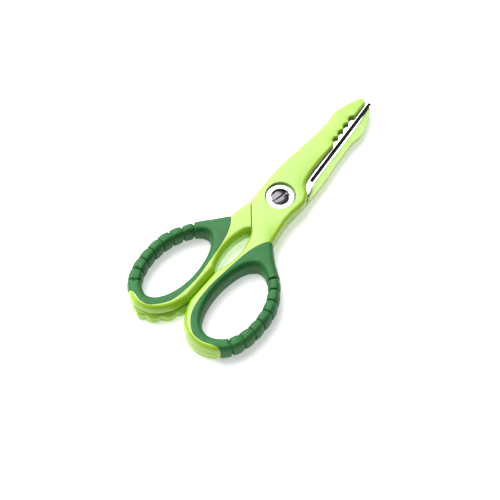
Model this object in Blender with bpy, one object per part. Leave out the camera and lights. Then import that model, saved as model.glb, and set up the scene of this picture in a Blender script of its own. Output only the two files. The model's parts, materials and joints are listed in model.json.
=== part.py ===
"""Craft scissors with plastic-covered blades, soft finger grips and a slotted pivot screw.

Metres, +Z up. The scissors lie flat and closed, with the blade tips towards +Y. The origin is at
the middle of the underside. Each half is one moulding with a steel strip and a soft grip. The front
half has the left blade cover and the right finger loop. The rear half is its mirror image in the
other layer, with a narrower thumb loop and deeper lobes.
"""
import math

import bmesh
import bpy
from mathutils import Matrix, Vector
from mathutils.geometry import delaunay_2d_cdt

MM = 0.001

# Overall sizes
THICKNESS = 9.3 * MM
MID_PLANE = THICKNESS / 2
SEAM = 0.3 * MM              # gap between neighbouring pieces
FACE_GAP = 0.1 * MM          # gap between stacked flat faces at the pivot
BEYOND = (-1 * MM, 11 * MM)  # heights of a cutter that passes right through

# Half height of a half's envelope above the mid plane, along the length
HANDLE_HALF_HEIGHT = THICKNESS / 2
HUB_HALF_HEIGHT = 4.1 * MM
TIP_HALF_HEIGHT = 3.4 * MM
HANDLE_END_Y = -24 * MM
HUB_START_Y = -10 * MM
HUB_END_Y = 9 * MM
TIP_Y = 60.8 * MM

# Edge rounding, across the edge and down the side wall
HANDLE_ROUNDING = (2.3 * MM, 3.7 * MM)
LINING_ROUNDING = (1.0 * MM, 1.2 * MM)     # under the lining on the axis side of the finger hole
HUB_ROUNDING = (1.6 * MM, 1.8 * MM)
TIP_ROUNDING = (0.8 * MM, 1.2 * MM)
WAVE_ROUNDING = (0.4 * MM, 0.5 * MM)
ROUNDING_STEPS = 3

# Sampling of outlines and flat faces
OUTLINE_SPACING = 2.6 * MM
FACE_SPACING = 7 * MM

# Steel strips
BLADE_THICKNESS = 1.0 * MM
GROUND_EDGE_WIDTH = 1.1 * MM
GROUND_EDGE_LAND = 0.3 * MM
TANG_HOLE_RADIUS = 2.55 * MM

# Pivot stack
RECESS_RADIUS = 6.6 * MM
RECESS_DEPTH = 2.8 * MM
RECESS_RIM = 0.5 * MM
BUSH_RADIUS = 2.45 * MM
BUSH_BORE = 1.7 * MM
SCREW_RADIUS = 1.6 * MM
SCREW_HEAD_RADIUS = 3.7 * MM
SCREW_HEAD_HEIGHT = 1.2 * MM
SLOT_WIDTH = 1.0 * MM
SLOT_DEPTH = 0.8 * MM
SLOT_TILT = math.radians(-14)
WASHER_RADIUS = 6.3 * MM
WASHER_THICKNESS = 1.7 * MM
SEAT_THICKNESS = 0.6 * MM      # of the washer under the screw head
SEAT_RADIUS = 4.0 * MM
SEAT_RIM_RADIUS = 4.6 * MM
FRICTION_WASHER_RADIUS = 5.2 * MM
FRICTION_WASHER_THICKNESS = 0.2 * MM
NUT_RADIUS = 3.3 * MM
NUT_HEIGHT = 1.1 * MM
ROUND_SEGMENTS = 28

# Decorative waves in the cover's cutting side
WAVE_COUNT = 4
WAVE_PITCH = 4.15 * MM
WAVE_FIRST_Y = 37.1 * MM
WAVE_RADIUS = 2.15 * MM
WAVE_DEPTH = 1.5 * MM

# Ribs of the grip's outer sleeve
GROOVE_COUNT = 8
GROOVE_RADIUS = 0.5 * MM
GROOVE_FIRST = (23.8, -32.5)   # where the first and last grooves cross the loop's outer contour
GROOVE_LAST = (28.8, -71.4)

# Lobed skirt around the loop's lower end
SKIRT_LOW_Z = 0.35 * MM
SKIRT_HIGH_Z = 4.4 * MM
SKIRT_END_X = 24.3 * MM
LOBE_COUNT = 5
FRONT_LOBE_HEIGHT = 0.3 * MM
REAR_LOBE_HEIGHT = 1.8 * MM

# The thumb loop of the rear half is this much narrower than the finger loop
THUMB_LOOP_NARROWER = 2.7 * MM

# Rigid core inside the sleeve
CORE_HALF_WIDTH = 1.05 * MM
CORE_HALF_HEIGHT = 2.2 * MM

# Outline of the front half, in millimetres from the pivot, anticlockwise from the tip
TIP_CURVE = [(0.1, 60.2), (-1.3, 60.75), (-2.5, 60.6), (-3.4, 59.7)]
SPINE_CURVE = [
    (-3.4, 59.7), (-6.2, 52.6), (-7.5, 47.4), (-6.95, 41.5),
    (-7.8, 30), (-9.3, 16.5), (-9.7, 6), (-9.2, -8.7),
]
CROTCH = (-0.15, -20.15)
LENS_CURVE = [(0.15, -20.5), (2.75, -32.5), (0.15, -45.5)]
LOOP_CURVE = [
    (0.15, -63.5), (3.2, -71.2), (8.8, -77), (15.6, -78.9), (22.4, -77.6),
    (28.2, -73.2), (31.8, -66.2), (33, -56), (31.6, -44.4), (25.9, -34.3),
    (16.6, -26.1), (11.3, -20.4),
]
NECK_CURVE = [(11.3, -20.4), (9.5, -10), (9.35, -4), (10.1, 3.6), (8.3, 8.2)]
CUTTING_SIDE_CURVE = [(8.3, 8.2), (4.6, 11.8), (3, 17.5), (2.1, 33.5), (0.8, 51), (0.1, 60.2)]
LENS_END_Y = -54.5            # the two shanks run side by side from the gap's end down to here

# Finger hole, and the line where the lime plastic meets the soft grip
HOLE_CURVE = [
    (13.8, -33.1), (9.4, -36.6), (6.8, -45), (6.3, -55), (8.3, -64.6), (12.3, -70.6),
    (17.5, -72.2), (23.3, -68.9), (26.6, -61.4), (27.1, -52), (24.9, -43.2), (20.3, -36.4),
]
GRIP_LINE = [
    (13, -19.6), (9.3, -22.4), (6.1, -30), (4.2, -43.5), (3.3, -56), (5.2, -68.6),
    (11, -75.7), (16.5, -76.8), (24.5, -75.2), (30, -78.6),
]
CORE_LINE = [
    (4.8, -26.6), (14.5, -29), (22.5, -34.3), (28.1, -43.5), (30, -54), (28.6, -65.4),
    (25, -72.2), (19.5, -77.3),
]

# Corners clear of the part that close the cutters for the grip side and for the blade side
GRIP_SIDE_CORNERS = [(45, -95), (45, -10)]
BLADE_SIDE_CORNERS = [(30, 10), (30, 80), (-30, 80), (-30, -30)]

# Outline of the front steel strip, anticlockwise from the tip. The ground edge runs straight from
# the end of the heel to the tip.
BLADE_TIP = [(0.5, 61.4), (-0.8, 60.3), (-2.2, 58.7)]
BLADE_BACK = [(-2.2, 58.7), (-3.7, 49), (-5.1, 31), (-5.9, 17.7), (-6.9, 12.6), (-7.6, 8)]
TANG_RADIUS = 7.9
BLADE_HEEL = [(7.9, 4), (8, 9), (7.1, 12.2), (5.3, 15)]
BLADE_EDGE_END = (1.9, 62.4)

LIME = (0.43, 0.75, 0.05)
DARK_GREEN = (0.02, 0.22, 0.05)
STEEL = (0.62, 0.64, 0.62)
BRIGHT_STEEL = (0.8, 0.81, 0.8)
NYLON = (0.85, 0.85, 0.8)


def clear_scene():
    for item in list(bpy.data.objects):
        bpy.data.objects.remove(item)


def material(name, colour, roughness, metallic=0.0):
    made = bpy.data.materials.new(name)
    made.use_nodes = True
    shader = made.node_tree.nodes["Principled BSDF"]
    shader.inputs["Base Color"].default_value = (*colour, 1)
    shader.inputs["Roughness"].default_value = roughness
    shader.inputs["Metallic"].default_value = metallic
    return made


def smooth_curve(points_mm, closed=False, spacing=OUTLINE_SPACING):
    """Points along a Catmull-Rom curve through points in millimetres, about one spacing apart."""
    knots = [Vector(point) * MM for point in points_mm]
    count = len(knots)
    spans = count if closed else count - 1
    result = []
    for span in range(spans):
        start = knots[span]
        end = knots[(span + 1) % count]
        before = knots[(span - 1) % count] if closed or span else 2 * start - end
        after_index = (span + 2) % count
        after = knots[after_index] if closed or span + 2 < count else 2 * end - start
        length = (end - start).length
        start_slope = (end - before) * length / ((start - before).length + length)
        end_slope = (after - start) * length / ((after - end).length + length)
        steps = max(2, round(length / spacing))
        for step in range(steps):
            t = step / steps
            result.append(
                start * (2 * t**3 - 3 * t**2 + 1)
                + start_slope * (t**3 - 2 * t**2 + t)
                + end * (3 * t**2 - 2 * t**3)
                + end_slope * (t**3 - t**2)
            )
    if not closed:
        result.append(knots[-1])
    return result


def arc_through(first, middle, last, spacing=OUTLINE_SPACING):
    """Points along the circular arc through three points in millimetres."""
    a, b, c = (Vector(point) * MM for point in (first, middle, last))
    doubled_area = 2 * (a.x * (b.y - c.y) + b.x * (c.y - a.y) + c.x * (a.y - b.y))
    centre = Vector((
        (a.dot(a) * (b.y - c.y) + b.dot(b) * (c.y - a.y) + c.dot(c) * (a.y - b.y)) / doubled_area,
        (a.dot(a) * (c.x - b.x) + b.dot(b) * (a.x - c.x) + c.dot(c) * (b.x - a.x)) / doubled_area,
    ))
    radius = (a - centre).length
    start = math.atan2(a.y - centre.y, a.x - centre.x)
    sweep = (a - centre).angle_signed(c - centre) * -1
    steps = max(3, round(abs(sweep) * radius / spacing))
    return [
        centre + radius * Vector((math.cos(start + sweep * k / steps), math.sin(start + sweep * k / steps)))
        for k in range(steps + 1)
    ]


def join_curves(*stretches):
    """One outline from stretches laid end to end, without repeated points."""
    tiny = 0.05 * MM
    outline = []
    for stretch in stretches:
        for point in stretch:
            if not outline or (point - outline[-1]).length > tiny:
                outline.append(point)
    if (outline[0] - outline[-1]).length < tiny:
        outline.pop()
    return outline


def half_outline():
    """Outline of the whole front half: blade cover, neck, shank and loop."""
    return join_curves(
        smooth_curve(TIP_CURVE, spacing=1.2 * MM),
        smooth_curve(SPINE_CURVE, spacing=3.4 * MM),
        [Vector(CROTCH) * MM],
        arc_through(*LENS_CURVE, spacing=3.4 * MM),
        [Vector((LENS_CURVE[-1][0], LENS_END_Y)) * MM],
        smooth_curve(LOOP_CURVE),
        smooth_curve(NECK_CURVE),
        smooth_curve(CUTTING_SIDE_CURVE, spacing=3.4 * MM),
    )


def blend(low, high, value):
    """Smooth step from 0 to 1 as value goes from low to high."""
    t = min(1, max(0, (value - low) / (high - low)))
    return t * t * (3 - 2 * t)


def half_height(y):
    """Height of a half's envelope above and below the mid plane."""
    if y < HUB_END_Y:
        share = blend(HANDLE_END_Y, HUB_START_Y, y)
        return HANDLE_HALF_HEIGHT + (HUB_HALF_HEIGHT - HANDLE_HALF_HEIGHT) * share
    share = (y - HUB_END_Y) / (TIP_Y - HUB_END_Y)
    return HUB_HALF_HEIGHT + (TIP_HALF_HEIGHT - HUB_HALF_HEIGHT) * share


def edge_rounding(point, side):
    """Width and depth of the rounded edge at one place on the outline, above (1) or below (-1)."""
    x, y = point / MM
    at_hub = blend(-30, -12, y)
    at_tip = blend(20, TIP_Y / MM, y)
    beside_waves = blend(-3, -1, x) * blend(26, 34, y)
    by_lining = blend(5.2, 6.2, x) * (1 - blend(12, 20, x)) * (side < 0)
    by_lining *= blend(-75, -72.5, y) * (1 - blend(-34, -30, y))
    sizes = []
    for index, size in enumerate(HANDLE_ROUNDING):
        size += (LINING_ROUNDING[index] - size) * by_lining
        size += (HUB_ROUNDING[index] - size) * at_hub
        size += (TIP_ROUNDING[index] - HUB_ROUNDING[index]) * at_tip
        size += (WAVE_ROUNDING[index] - size) * beside_waves
        sizes.append(size)
    return sizes


def inward_normals(outline):
    """Unit steps to the left of an outline's direction, lengthened at corners."""
    normals = []
    count = len(outline)
    for index in range(count):
        before = (outline[index] - outline[index - 1]).normalized()
        after = (outline[(index + 1) % count] - outline[index]).normalized()
        middle = (before + after).normalized()
        stretch = 1 / max(0.6, middle.dot(after))
        normals.append(Vector((-middle.y, middle.x)) * stretch)
    return normals


def offset(outline, distance):
    """The outline moved to the left of its direction."""
    return [point + normal * distance for point, normal in zip(outline, inward_normals(outline))]


def inside(point, outline):
    """Whether a point lies within an outline."""
    hit = False
    for index, end in enumerate(outline):
        start = outline[index - 1]
        if (start.y > point.y) != (end.y > point.y):
            if point.x < (end.x - start.x) * (point.y - start.y) / (end.y - start.y) + start.x:
                hit = not hit
    return hit


def face_points(outlines, margin):
    """Grid points on a flat face, kept a margin inside its outlines."""
    outer = outlines[0]
    shrunk = [offset(outline, margin) for outline in outlines]
    low_x, high_x = (pick(point.x for point in outer) for pick in (min, max))
    low_y, high_y = (pick(point.y for point in outer) for pick in (min, max))
    points = []
    for row in range(int((high_y - low_y) / FACE_SPACING) + 1):
        for column in range(int((high_x - low_x) / FACE_SPACING) + 1):
            point = Vector((low_x + column * FACE_SPACING, low_y + row * FACE_SPACING))
            if inside(point, shrunk[0]) and not any(inside(point, hole) for hole in shrunk[1:]):
                points.append(point)
    return points


def new_object(name, verts, faces, look=None):
    mesh = bpy.data.meshes.new(name)
    mesh.from_pydata(verts, [], faces)
    mesh.update()
    made = bpy.data.objects.new(name, mesh)
    bpy.context.collection.objects.link(made)
    if look:
        mesh.materials.append(look)
    return made


def rounded_plate(name, outlines, upright):
    """A plate about the mid plane with rounded edges.

    outlines holds the outer outline, anticlockwise, and then its holes, clockwise. upright is 1,
    or -1 for a plate that lies on its upper face.
    """
    levels = []
    for step in range(ROUNDING_STEPS + 1):
        angle = math.pi / 2 * (1 - step / ROUNDING_STEPS)
        levels.append((-1, 1 - math.cos(angle), 1 - math.sin(angle)))
    levels += [(1, across, down) for _, across, down in reversed(levels)]
    verts = []
    faces = []
    rims = {0: [], len(levels) - 1: []}
    for outline in outlines:
        normals = inward_normals(outline)
        first = len(verts)
        count = len(outline)
        for side, across, down in levels:
            for point, normal in zip(outline, normals):
                width, depth = edge_rounding(point, side * upright)
                x, y = point + normal * width * across
                verts.append((x, y, MID_PLANE + side * (half_height(point.y) - depth * down)))
        for level in range(len(levels) - 1):
            row = first + level * count
            for index in range(count):
                following = (index + 1) % count
                faces.append((row + index, row + following, row + count + following, row + count + index))
        for level, rim in rims.items():
            rim.append([first + level * count + index for index in range(count)])
    for level, rim in rims.items():
        outline_points = [[Vector(verts[index][:2]) for index in ring] for ring in rim]
        flat, edges, origin = [], [], []
        for ring, points in zip(rim, outline_points):
            start = len(flat)
            flat += points
            origin += ring
            edges += [(start + k, start + (k + 1) % len(ring)) for k in range(len(ring))]
        for point in face_points(outline_points, FACE_SPACING * 0.3):
            side = 1 if level else -1
            origin.append(len(verts))
            flat.append(point)
            verts.append((point.x, point.y, MID_PLANE + side * half_height(point.y)))
        _, _, triangles, originals, _, _ = delaunay_2d_cdt(flat, edges, [], 0, 1e-9)
        for triangle in triangles:
            centre = sum((flat[originals[k][0]] for k in triangle), Vector((0, 0))) / 3
            if not inside(centre, outline_points[0]) or any(inside(centre, h) for h in outline_points[1:]):
                continue
            corners = [origin[originals[k][0]] for k in triangle]
            faces.append(tuple(corners if level else reversed(corners)))
    return new_object(name, verts, faces)


def prism(name, outline, low, high):
    """A straight-sided solid over an anticlockwise outline."""
    count = len(outline)
    verts = [(point.x, point.y, low) for point in outline]
    verts += [(point.x, point.y, high) for point in outline]
    faces = [tuple(reversed(range(count))), tuple(range(count, 2 * count))]
    for index in range(count):
        following = (index + 1) % count
        faces.append((index, following, count + following, count + index))
    return new_object(name, verts, faces)


def turned(name, profile, segments=ROUND_SEGMENTS):
    """A solid turned about the pivot axis. The profile of (radius, z) runs up its outer side and
    starts and ends on the axis, or is closed when it stays clear of the axis."""
    on_axis = profile[0][0] == 0
    verts = []
    faces = []
    rings = []
    for radius, z in profile:
        if radius == 0:
            rings.append([len(verts)] * segments)
            verts.append((0, 0, z))
            continue
        rings.append([len(verts) + k for k in range(segments)])
        for k in range(segments):
            angle = 2 * math.pi * k / segments
            verts.append((radius * math.cos(angle), radius * math.sin(angle), z))
    pairs = list(zip(rings, rings[1:]))
    if not on_axis:
        pairs.append((rings[-1], rings[0]))
    for lower, upper in pairs:
        for k in range(segments):
            following = (k + 1) % segments
            corners = [lower[k], lower[following], upper[following], upper[k]]
            faces.append(tuple(dict.fromkeys(corners)))
    return new_object(name, verts, faces)


def tube_along(name, line, half_width, half_height, sides=8):
    """A closed oval bar along a line in the mid plane."""
    verts = []
    faces = []
    for index, point in enumerate(line):
        before = line[max(0, index - 1)]
        after = line[min(len(line) - 1, index + 1)]
        direction = (after - before).normalized()
        across = Vector((direction.y, -direction.x))
        for side in range(sides):
            angle = 2 * math.pi * (side + 0.5) / sides
            x, y = point + across * half_width * math.cos(angle)
            verts.append((x, y, MID_PLANE + half_height * math.sin(angle)))
    for index in range(len(line) - 1):
        row = index * sides
        for side in range(sides):
            following = (side + 1) % sides
            faces.append((row + side, row + sides + side, row + sides + following, row + following))
    faces.append(tuple(range(sides)))
    faces.append(tuple(reversed(range(len(verts) - sides, len(verts)))))
    return new_object(name, verts, faces)


def combine(target, tool, operation):
    """Apply one exact Boolean to the target and drop the tool."""
    step = target.modifiers.new(operation.title(), "BOOLEAN")
    step.operation = operation
    step.solver = "EXACT"
    step.object = tool
    evaluated = target.evaluated_get(bpy.context.evaluated_depsgraph_get())
    result = bpy.data.meshes.new_from_object(evaluated)
    target.modifiers.clear()
    target.data = result
    bpy.data.objects.remove(tool)


def duplicate(source, name):
    copy = source.copy()
    copy.data = source.data.copy()
    copy.name = name
    bpy.context.collection.objects.link(copy)
    return copy


def envelope(upright):
    """The full-height front half, before it is split into plastic and grip."""
    hole = smooth_curve(reversed(HOLE_CURVE), closed=True)
    return rounded_plate("envelope", [half_outline(), hole], upright)


def grip_region(clearance):
    """Plan of everything on the grip's side of the line where it meets the plastic."""
    line = smooth_curve(GRIP_LINE)
    moved = []
    for index, point in enumerate(line):
        direction = (line[min(index + 1, len(line) - 1)] - line[max(index - 1, 0)]).normalized()
        moved.append(point + Vector((-direction.y, direction.x)) * clearance)
    return moved + [Vector(corner) * MM for corner in GRIP_SIDE_CORNERS]


def lower_layer_region():
    """Plan of the blade and hub area, where this half leaves the other layer free."""
    start = Vector(SPINE_CURVE[-1]) * MM
    end = Vector(CROTCH) * MM
    direction = (end - start).normalized()
    outward = Vector((direction.y, -direction.x)) * SEAM
    near = start + outward - direction * 10 * MM
    far = end + outward + direction * 6 * MM
    mirrored = [Vector((-point.x, point.y)) for point in (far, near)]
    return mirrored + [Vector(corner) * MM for corner in BLADE_SIDE_CORNERS]


def core_line():
    return smooth_curve(CORE_LINE, spacing=3.6 * MM)


def skirt(lobe_height):
    """The lobed lower edge around the end of the loop."""
    whole = smooth_curve(LOOP_CURVE, spacing=1.1 * MM)
    contour = whole[:next(k for k, point in enumerate(whole) if point.x > SKIRT_END_X)]
    outer = []
    for index, point in enumerate(contour):
        direction = (contour[min(index + 1, len(contour) - 1)] - contour[max(index - 1, 0)]).normalized()
        outward = Vector((direction.y, -direction.x))
        share = index / (len(contour) - 1)
        ends = min(1, share * 9, (1 - share) * 3)
        lobe = abs(math.sin(math.pi * LOBE_COUNT * share))
        outer.append(point + outward * lobe_height * ends * (0.4 + 0.6 * lobe))
    inner = [
        point + Vector((-direction.y, direction.x)) * 1.2 * MM
        for point, direction in (
            (contour[k], (contour[k + 1] - contour[k - 1]).normalized())
            for k in range(len(contour) - 3, 2, -2)
        )
    ]
    return prism("skirt", outer + inner, SKIRT_LOW_Z, SKIRT_HIGH_Z)


def blade_outline():
    """Outline of the front steel strip with its rounded tang."""
    start = math.atan2(BLADE_BACK[-1][1], BLADE_BACK[-1][0])
    end = math.atan2(BLADE_HEEL[0][1], BLADE_HEEL[0][0]) + 2 * math.pi
    tang = [
        Vector((math.cos(start + (end - start) * k / 12), math.sin(start + (end - start) * k / 12)))
        * TANG_RADIUS * MM
        for k in range(1, 12)
    ]
    return join_curves(
        smooth_curve(BLADE_TIP, spacing=1.2 * MM),
        smooth_curve(BLADE_BACK, spacing=6 * MM),
        tang,
        smooth_curve(BLADE_HEEL),
        [Vector(BLADE_EDGE_END) * MM],
    )


def steel_strip(name, look):
    """A strip with a ground bevel along its straight cutting edge."""
    base = blade_outline()
    top = list(base)
    edge_start, edge_end = len(base) - 2, len(base) - 1
    direction = (base[edge_end] - base[edge_start]).normalized()
    across = Vector((-direction.y, direction.x))
    slanted_end = base[0] - base[edge_end]
    top[edge_start] = base[edge_start] + across * GROUND_EDGE_WIDTH
    top[edge_end] = base[edge_end] + slanted_end * (GROUND_EDGE_WIDTH / slanted_end.dot(across))
    low = MID_PLANE + SEAM / 2
    rings = [(base, low), (base, low + GROUND_EDGE_LAND), (top, low + BLADE_THICKNESS)]
    count = len(base)
    verts = [(point.x, point.y, z) for ring, z in rings for point in ring]
    faces = [tuple(reversed(range(count))), tuple(range(2 * count, 3 * count))]
    for level in range(2):
        for index in range(count):
            following = (index + 1) % count
            row = level * count
            faces.append((row + index, row + following, row + count + following, row + count + index))
    strip = new_object(name, verts, faces)
    hole = [(0, 0), (TANG_HOLE_RADIUS, 0), (TANG_HOLE_RADIUS, THICKNESS), (0, THICKNESS)]
    combine(strip, turned("tang_hole", hole, 32), "DIFFERENCE")
    strip.data.materials.clear()
    strip.data.materials.append(look)
    return strip


def cover_edge_x(y):
    """Where the cover's cutting side lies at one place along the length."""
    points = smooth_curve(CUTTING_SIDE_CURVE, spacing=1 * MM)
    return min(points, key=lambda point: abs(point.y - y)).x


def cut_waves(body):
    """The row of round notches in the cover's cutting side."""
    for index in range(WAVE_COUNT):
        y = WAVE_FIRST_Y + index * WAVE_PITCH
        x = cover_edge_x(y) + WAVE_RADIUS - WAVE_DEPTH
        profile = [(0, 0), (WAVE_RADIUS, 0), (WAVE_RADIUS, THICKNESS), (0, THICKNESS)]
        notch = turned("notch", profile, 24)
        notch.data.transform(Matrix.Translation((x, y, 0)))
        combine(body, notch, "DIFFERENCE")


def cut_recess(body):
    """The round recess for the screw head and the bore for the bush."""
    top = MID_PLANE + HUB_HALF_HEIGHT
    floor = top - RECESS_DEPTH
    profile = [
        (0, 0), (TANG_HOLE_RADIUS, 0), (TANG_HOLE_RADIUS, floor), (RECESS_RADIUS, floor),
        (RECESS_RADIUS, top - RECESS_RIM), (RECESS_RADIUS + RECESS_RIM, top),
        (RECESS_RADIUS + RECESS_RIM, THICKNESS), (0, THICKNESS),
    ]
    combine(body, turned("recess", profile), "DIFFERENCE")


def handle_moulding(name, whole, look):
    """The lime plastic of the front half."""
    body = duplicate(whole, name)
    combine(body, prism("grip_side", grip_region(0), *BEYOND), "DIFFERENCE")
    core = tube_along("core", core_line(), CORE_HALF_WIDTH, CORE_HALF_HEIGHT)
    combine(body, core, "UNION")
    combine(body, prism("layer", lower_layer_region(), BEYOND[0], MID_PLANE + SEAM / 2), "DIFFERENCE")
    pocket_top = MID_PLANE + SEAM / 2 + BLADE_THICKNESS + FACE_GAP
    combine(body, prism("pocket", offset(blade_outline(), -SEAM), BEYOND[0], pocket_top), "DIFFERENCE")
    cut_recess(body)
    cut_waves(body)
    body.data.materials.clear()
    body.data.materials.append(look)
    return body


def groove_ring(centre, direction, half_width, half_height):
    """A ring around the sleeve that cuts one groove."""
    around, thick = 10, 4
    across = Vector((direction.y, -direction.x, 0))
    along = Vector((direction.x, direction.y, 0))
    up = Vector((0, 0, 1))
    middle = Vector((centre.x, centre.y, MID_PLANE))
    verts = []
    for step in range(around):
        angle = 2 * math.pi * (step + 0.5) / around
        spoke = across * half_width * math.cos(angle) + up * half_height * math.sin(angle)
        outward = (across * math.cos(angle) / half_width + up * math.sin(angle) / half_height).normalized()
        for turn in range(thick):
            bend = 2 * math.pi * turn / thick
            tip = outward * math.cos(bend) + along * math.sin(bend)
            verts.append(middle + spoke + tip * GROOVE_RADIUS)
    faces = []
    for step in range(around):
        for turn in range(thick):
            row, after = step * thick, (step + 1) % around * thick
            following = (turn + 1) % thick
            faces.append((row + turn, row + following, after + following, after + turn))
    return new_object("groove", verts, faces)


def sleeve_places():
    """Middle, direction and half width of the sleeve at each groove."""
    outer = smooth_curve(LOOP_CURVE, spacing=0.5 * MM)
    hole = smooth_curve(HOLE_CURVE, closed=True, spacing=0.5 * MM)
    first, last = (
        min(range(len(outer)), key=lambda k: (outer[k] - Vector(place) * MM).length)
        for place in (GROOVE_FIRST, GROOVE_LAST)
    )
    places = []
    for index in range(GROOVE_COUNT):
        rim = outer[round(first + (last - first) * index / (GROOVE_COUNT - 1))]
        edge = min(hole, key=lambda point: (point - rim).length)
        radial = rim - edge
        direction = Vector((-radial.y, radial.x)).normalized()
        places.append(((rim + edge) / 2, direction, radial.length / 2))
    return places


def soft_grip(name, whole, look):
    """The soft overmould of the front loop."""
    grip = duplicate(whole, name)
    combine(grip, prism("grip_side", grip_region(SEAM), *BEYOND), "INTERSECT")
    tunnel = tube_along("tunnel", core_line(), CORE_HALF_WIDTH + SEAM, CORE_HALF_HEIGHT + SEAM)
    combine(grip, tunnel, "DIFFERENCE")
    for middle, direction, half_width in sleeve_places():
        ring = groove_ring(middle, direction, half_width * 1.03, HANDLE_HALF_HEIGHT * 1.02)
        combine(grip, ring, "DIFFERENCE")
    grip.data.materials.clear()
    grip.data.materials.append(look)
    return grip


def turned_over(source, name):
    """The same piece turned half a turn about the long axis through the mid plane."""
    copy = duplicate(source, name)
    lift = Matrix.Translation((0, 0, MID_PLANE))
    copy.data.transform(lift @ Matrix.Rotation(math.pi, 4, "Y") @ lift.inverted())
    return copy


def mirrored_skirt(lobe_height):
    made = skirt(lobe_height)
    made.data.transform(Matrix.Scale(-1, 4, (1, 0, 0)))
    made.data.flip_normals()
    return made


def narrow_loop(piece):
    """Bring the far side of the rear half's thumb loop nearer to the long axis."""
    for vertex in piece.data.vertices:
        x, y, _ = vertex.co / MM
        vertex.co.x += THUMB_LOOP_NARROWER * blend(8, 27, -x) * (1 - blend(-36, -24, y))


def under(z):
    """The height as far under the mid plane as z is above it."""
    return THICKNESS - z


def seat_washer(name, low):
    """The thick washer with a seat for the screw head, its underside at one height."""
    high, seat = low + WASHER_THICKNESS, low + SEAT_THICKNESS
    return turned(name, [
        (BUSH_BORE, low), (WASHER_RADIUS, low), (WASHER_RADIUS, high), (SEAT_RIM_RADIUS, high),
        (SEAT_RADIUS, seat), (BUSH_BORE, seat),
    ])


def pivot_pieces(bright, steel, nylon):
    """The screw, nut, washers and bush on the pivot axis."""
    floor = MID_PLANE + HUB_HALF_HEIGHT - RECESS_DEPTH
    washer_low = floor + FACE_GAP
    head_low = washer_low + SEAT_THICKNESS + FACE_GAP
    head_high = head_low + SCREW_HEAD_HEIGHT
    nut_high = under(head_low)
    shank_end = nut_high - NUT_HEIGHT + 0.1 * MM
    dome = [
        (SCREW_HEAD_RADIUS * math.cos(angle), head_low + SCREW_HEAD_HEIGHT * (0.45 + 0.55 * math.sin(angle)))
        for angle in (math.radians(90) * k / 5 for k in range(5))
    ]
    screw = turned("pivot_screw", [
        (0, shank_end), (SCREW_RADIUS, shank_end), (SCREW_RADIUS, head_low),
        (SCREW_HEAD_RADIUS, head_low), *dome, (0, head_high),
    ])
    slot_half = Vector((SLOT_WIDTH / 2, SCREW_HEAD_RADIUS * 1.2))
    slot_outline = [Vector((x * slot_half.x, y * slot_half.y)) for x, y in ((-1, -1), (1, -1), (1, 1), (-1, 1))]
    slot = prism("slot", slot_outline, head_high - SLOT_DEPTH, head_high + 1 * MM)
    slot.data.transform(Matrix.Rotation(SLOT_TILT, 4, "Z"))
    combine(screw, slot, "DIFFERENCE")
    washer = seat_washer("pivot_washer", washer_low)
    rear_washer = turned_over(washer, "rear_washer")
    low, high = (MID_PLANE + side * FRICTION_WASHER_THICKNESS / 2 for side in (-1, 1))
    friction = turned("friction_washer", [
        (BUSH_RADIUS + FACE_GAP, low), (FRICTION_WASHER_RADIUS, low),
        (FRICTION_WASHER_RADIUS, high), (BUSH_RADIUS + FACE_GAP, high),
    ])
    bush = turned("pivot_bush", [
        (BUSH_BORE, under(floor)), (BUSH_RADIUS, under(floor)), (BUSH_RADIUS, floor), (BUSH_BORE, floor),
    ])
    hexagon = [Vector((math.cos(k * math.pi / 3), math.sin(k * math.pi / 3))) * NUT_RADIUS for k in range(6)]
    nut = prism("pivot_nut", hexagon, nut_high - NUT_HEIGHT, nut_high)
    thread = [(0, 0), (BUSH_BORE, 0), (BUSH_BORE, MID_PLANE), (0, MID_PLANE)]
    combine(nut, turned("thread", thread, 32), "DIFFERENCE")
    looks = {screw: bright, washer: bright, rear_washer: steel, friction: nylon, bush: steel, nut: steel}
    for piece, look in looks.items():
        piece.data.materials.clear()
        piece.data.materials.append(look)
    return list(looks)


def centre(pieces):
    """Move the pieces so that the origin is under the middle of their box."""
    corners = [vertex.co for piece in pieces for vertex in piece.data.vertices]
    middle_x, middle_y = (
        (min(corner[axis] for corner in corners) + max(corner[axis] for corner in corners)) / 2
        for axis in (0, 1)
    )
    for piece in pieces:
        piece.data.transform(Matrix.Translation((-middle_x, -middle_y, 0)))


def finish(piece):
    """Clean a piece's mesh and shade its round stretches smooth."""
    mesh = bmesh.new()
    mesh.from_mesh(piece.data)
    bmesh.ops.remove_doubles(mesh, verts=mesh.verts, dist=0.002 * MM)
    bmesh.ops.dissolve_degenerate(mesh, edges=mesh.edges, dist=0.002 * MM)
    bmesh.ops.triangulate(mesh, faces=mesh.faces)
    mesh.to_mesh(piece.data)
    mesh.free()
    piece.data.shade_smooth()
    piece.data.set_sharp_from_angle(angle=math.radians(40))


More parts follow.
